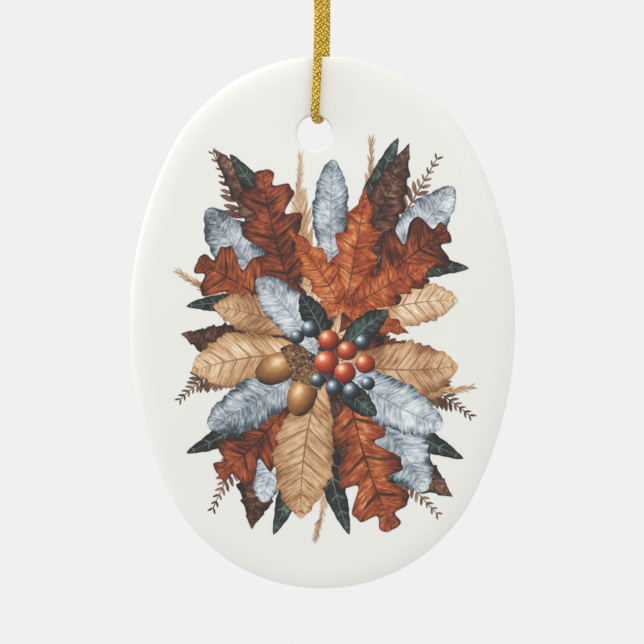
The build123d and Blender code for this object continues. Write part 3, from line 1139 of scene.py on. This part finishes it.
berries = {
    "printedRosehips": {
        "colours": {0.0: "#FBE3CF", 0.16: "#E8895A", 0.42: "#B9401D", 0.75: "#7E2312", 1.0: "#3A0F08"},
        "size": 2.1 * mm, "layer": 14.0, "seed": 43,
        "places": [(1.2, -3.2), (4.6, -5.2), (0.8, -7.4), (4.2, -9.2), (7.9, -7.6)],
    },
    "printedSloes": {
        "colours": {0.0: "#E3EBEF", 0.2: "#7E919C", 0.5: "#333F49", 0.8: "#1A1D21", 1.0: "#0B0B0C"},
        "size": 1.5 * mm, "layer": 14.6, "seed": 47,
        "places": [(-2.2, -1.2), (-0.8, -10.6), (2.2, -12.0), (7.4, -3.6), (8.4, -11.2), (-4.6, -2.6),
                   (5.4, -12.6)],
    },
}
berryForm = {
    "rings": (0.35, 0.7, 1.0),
    "corners": 20,
    "flatness": 0.95,          # height over width
    "variation": 0.14,         # of the size, from one berry to the next
    "layerStep": -0.002 * mm,
    "lightAt": (-0.36, 0.4, 0.0),
    "blurSize": 0.8 * mm,
    "blurShare": 0.35,
    "shadeRange": (0.28, 1.6),   # distances from the light of the first and last colour
}
acorns = {
    "nutColours": {0.0: "#F3D9AE", 0.18: "#CB9760", 0.45: "#9A6534", 0.75: "#65401F", 1.0: "#2C170B"},
    "cupPaint": "cupPaint",
    "nutHalfWidth": 0.25,      # shares of the acorn's length
    "cupHalfWidth": 0.29,
    "cupLength": 0.4,
    "nutFrom": 0.22,
    "nutGrid": (40, 15),
    "cupGrid": (24, 17),
    "nutWobble": 0.2,          # shares of a leaf's unevenness
    "cupWobble": 0.3,
    "cupAbove": 0.3,           # layers that a cup lies over its nut
    "acorns": [((-2.4, -5.6), (-12.6, -10.4), 13.2), ((-1.6, -7.4), (-5.2, -17.6), 13.8)],
    "seed": 23,
}


def berryTree():
    tree, add, given = newNodes("berriesOnPoints", Object=["Berry"], Int=["Seed"],
                                Float=["Size", "Variation", "Layer Step"])
    shift = add("CombineXYZ", {1: add("MULTIPLY", add("InputIndex"), given["Layer Step"])})
    layered = add("SetPosition", given["Base"], {"Offset": shift})
    chance = add("RandomValue", {2: -1.0, 3: 1.0, "Seed": given["Seed"]}, out="Value")
    grow = add("ADD", add("MULTIPLY", chance, given["Variation"]), 1.0)
    size = add("MULTIPLY", grow, given["Size"])
    placed = add("InstanceOnPoints", {
        "Points": layered, "Instance": add("ObjectInfo", given["Berry"], out="Geometry"),
        "Scale": add("CombineXYZ", size, size, size)})
    return closeNodes(tree, placed, given["Material"])


def berryPaint(name, colours):
    # round fruit painted wet in wet: a small light, a full colour and a dark far edge
    material, add, shader = newMaterial(name)
    blur = add("TexNoise", {"Vector": add("TexCoord", out="Object"), "Scale": 1 / berryForm["blurSize"],
                            "Detail": 3.0})
    place = add("Attribute", attribute_name="leafPlace", out="Vector")
    away = add("VectorMath DISTANCE", place, berryForm["lightAt"], out="Value")
    share = add("MapRange", add("MULTIPLY_ADD", blur, berryForm["blurShare"], away),
                *berryForm["shadeRange"])
    fillInputs(shader, {"Base Color": setStops(add("ValToRGB", share), colours),
                        "Roughness": plaque["glazeRoughness"], "IOR": plaque["glazeIor"]})
    return material


def berryShape(name, material):
    # a flat unit disc that keeps its own place for the painted shading
    corners = berryForm["corners"]
    verts, faces = [(0.0, 0.0, 0.0)], []
    for ring in berryForm["rings"]:
        verts += [(ring * x, 0.0, ring * berryForm["flatness"] * z) for x, z in circlePoints(corners)]
    for corner in range(corners):
        after = (corner + 1) % corners
        faces.append((0, 1 + corner, 1 + after))
        for ring in range(len(berryForm["rings"]) - 1):
            a = 1 + ring * corners
            faces.append((a + corner, a + corners + corner, a + corners + after, a + after))
    verts = np.array(verts)
    return printPiece(name, [(verts, faces, verts[:, [0, 2, 1]])], material)


def printBerries(name, kind, tree):
    material = berryPaint(name.replace("printed", "painted"), kind["colours"])
    berry = berryShape(name + "Shape", material)
    across, up = np.array(kind["places"], float).T
    piece = meshPiece(name, onFace(across, up, kind["layer"]))
    runNodes(piece, tree, berry=berry, material=material, **berryForm, **kind)
    bpy.data.objects.remove(berry)
    onPlaque(piece)


def printAcorns():
    draw = np.random.default_rng(acorns["seed"])
    nuts, cups = [], []
    for base, tip, layer in acorns["acorns"]:
        base, tip = np.array(base), np.array(tip)
        nutBase = base + acorns["nutFrom"] * (tip - base)
        cupTip = base + acorns["cupLength"] * (tip - base)
        nutWidth = acorns["nutHalfWidth"] / (1 - acorns["nutFrom"])
        nut = (nutBase, tip, 0, nutWidth, layer)
        verts, faces, spot = paintedLeaf(nut, nutOutline, 0, draw, acorns["nutGrid"], acorns["nutWobble"])
        # the same place on every nut, so each has its light on the upper left
        nuts.append((verts, faces, np.stack([-spot[:, 1], 1.2 - 2.0 * spot[:, 0], 0 * spot[:, 0]], axis=1)))
        cupWidth = acorns["cupHalfWidth"] / acorns["cupLength"]
        cup = (base, cupTip, 0, cupWidth, layer + acorns["cupAbove"])
        cups.append(paintedLeaf(cup, cupOutline, 0, draw, acorns["cupGrid"], acorns["cupWobble"]))
    onPlaque(printPiece("printedAcorns", nuts, berryPaint("paintedAcorns", acorns["nutColours"])))
    onPlaque(printPiece("printedAcornCups", cups, paintOf[acorns["cupPaint"]]))


berryNodes = berryTree()
for name, kind in berries.items():
    printBerries(name, kind, berryNodes)
printAcorns()
print("berries and acorns painted")
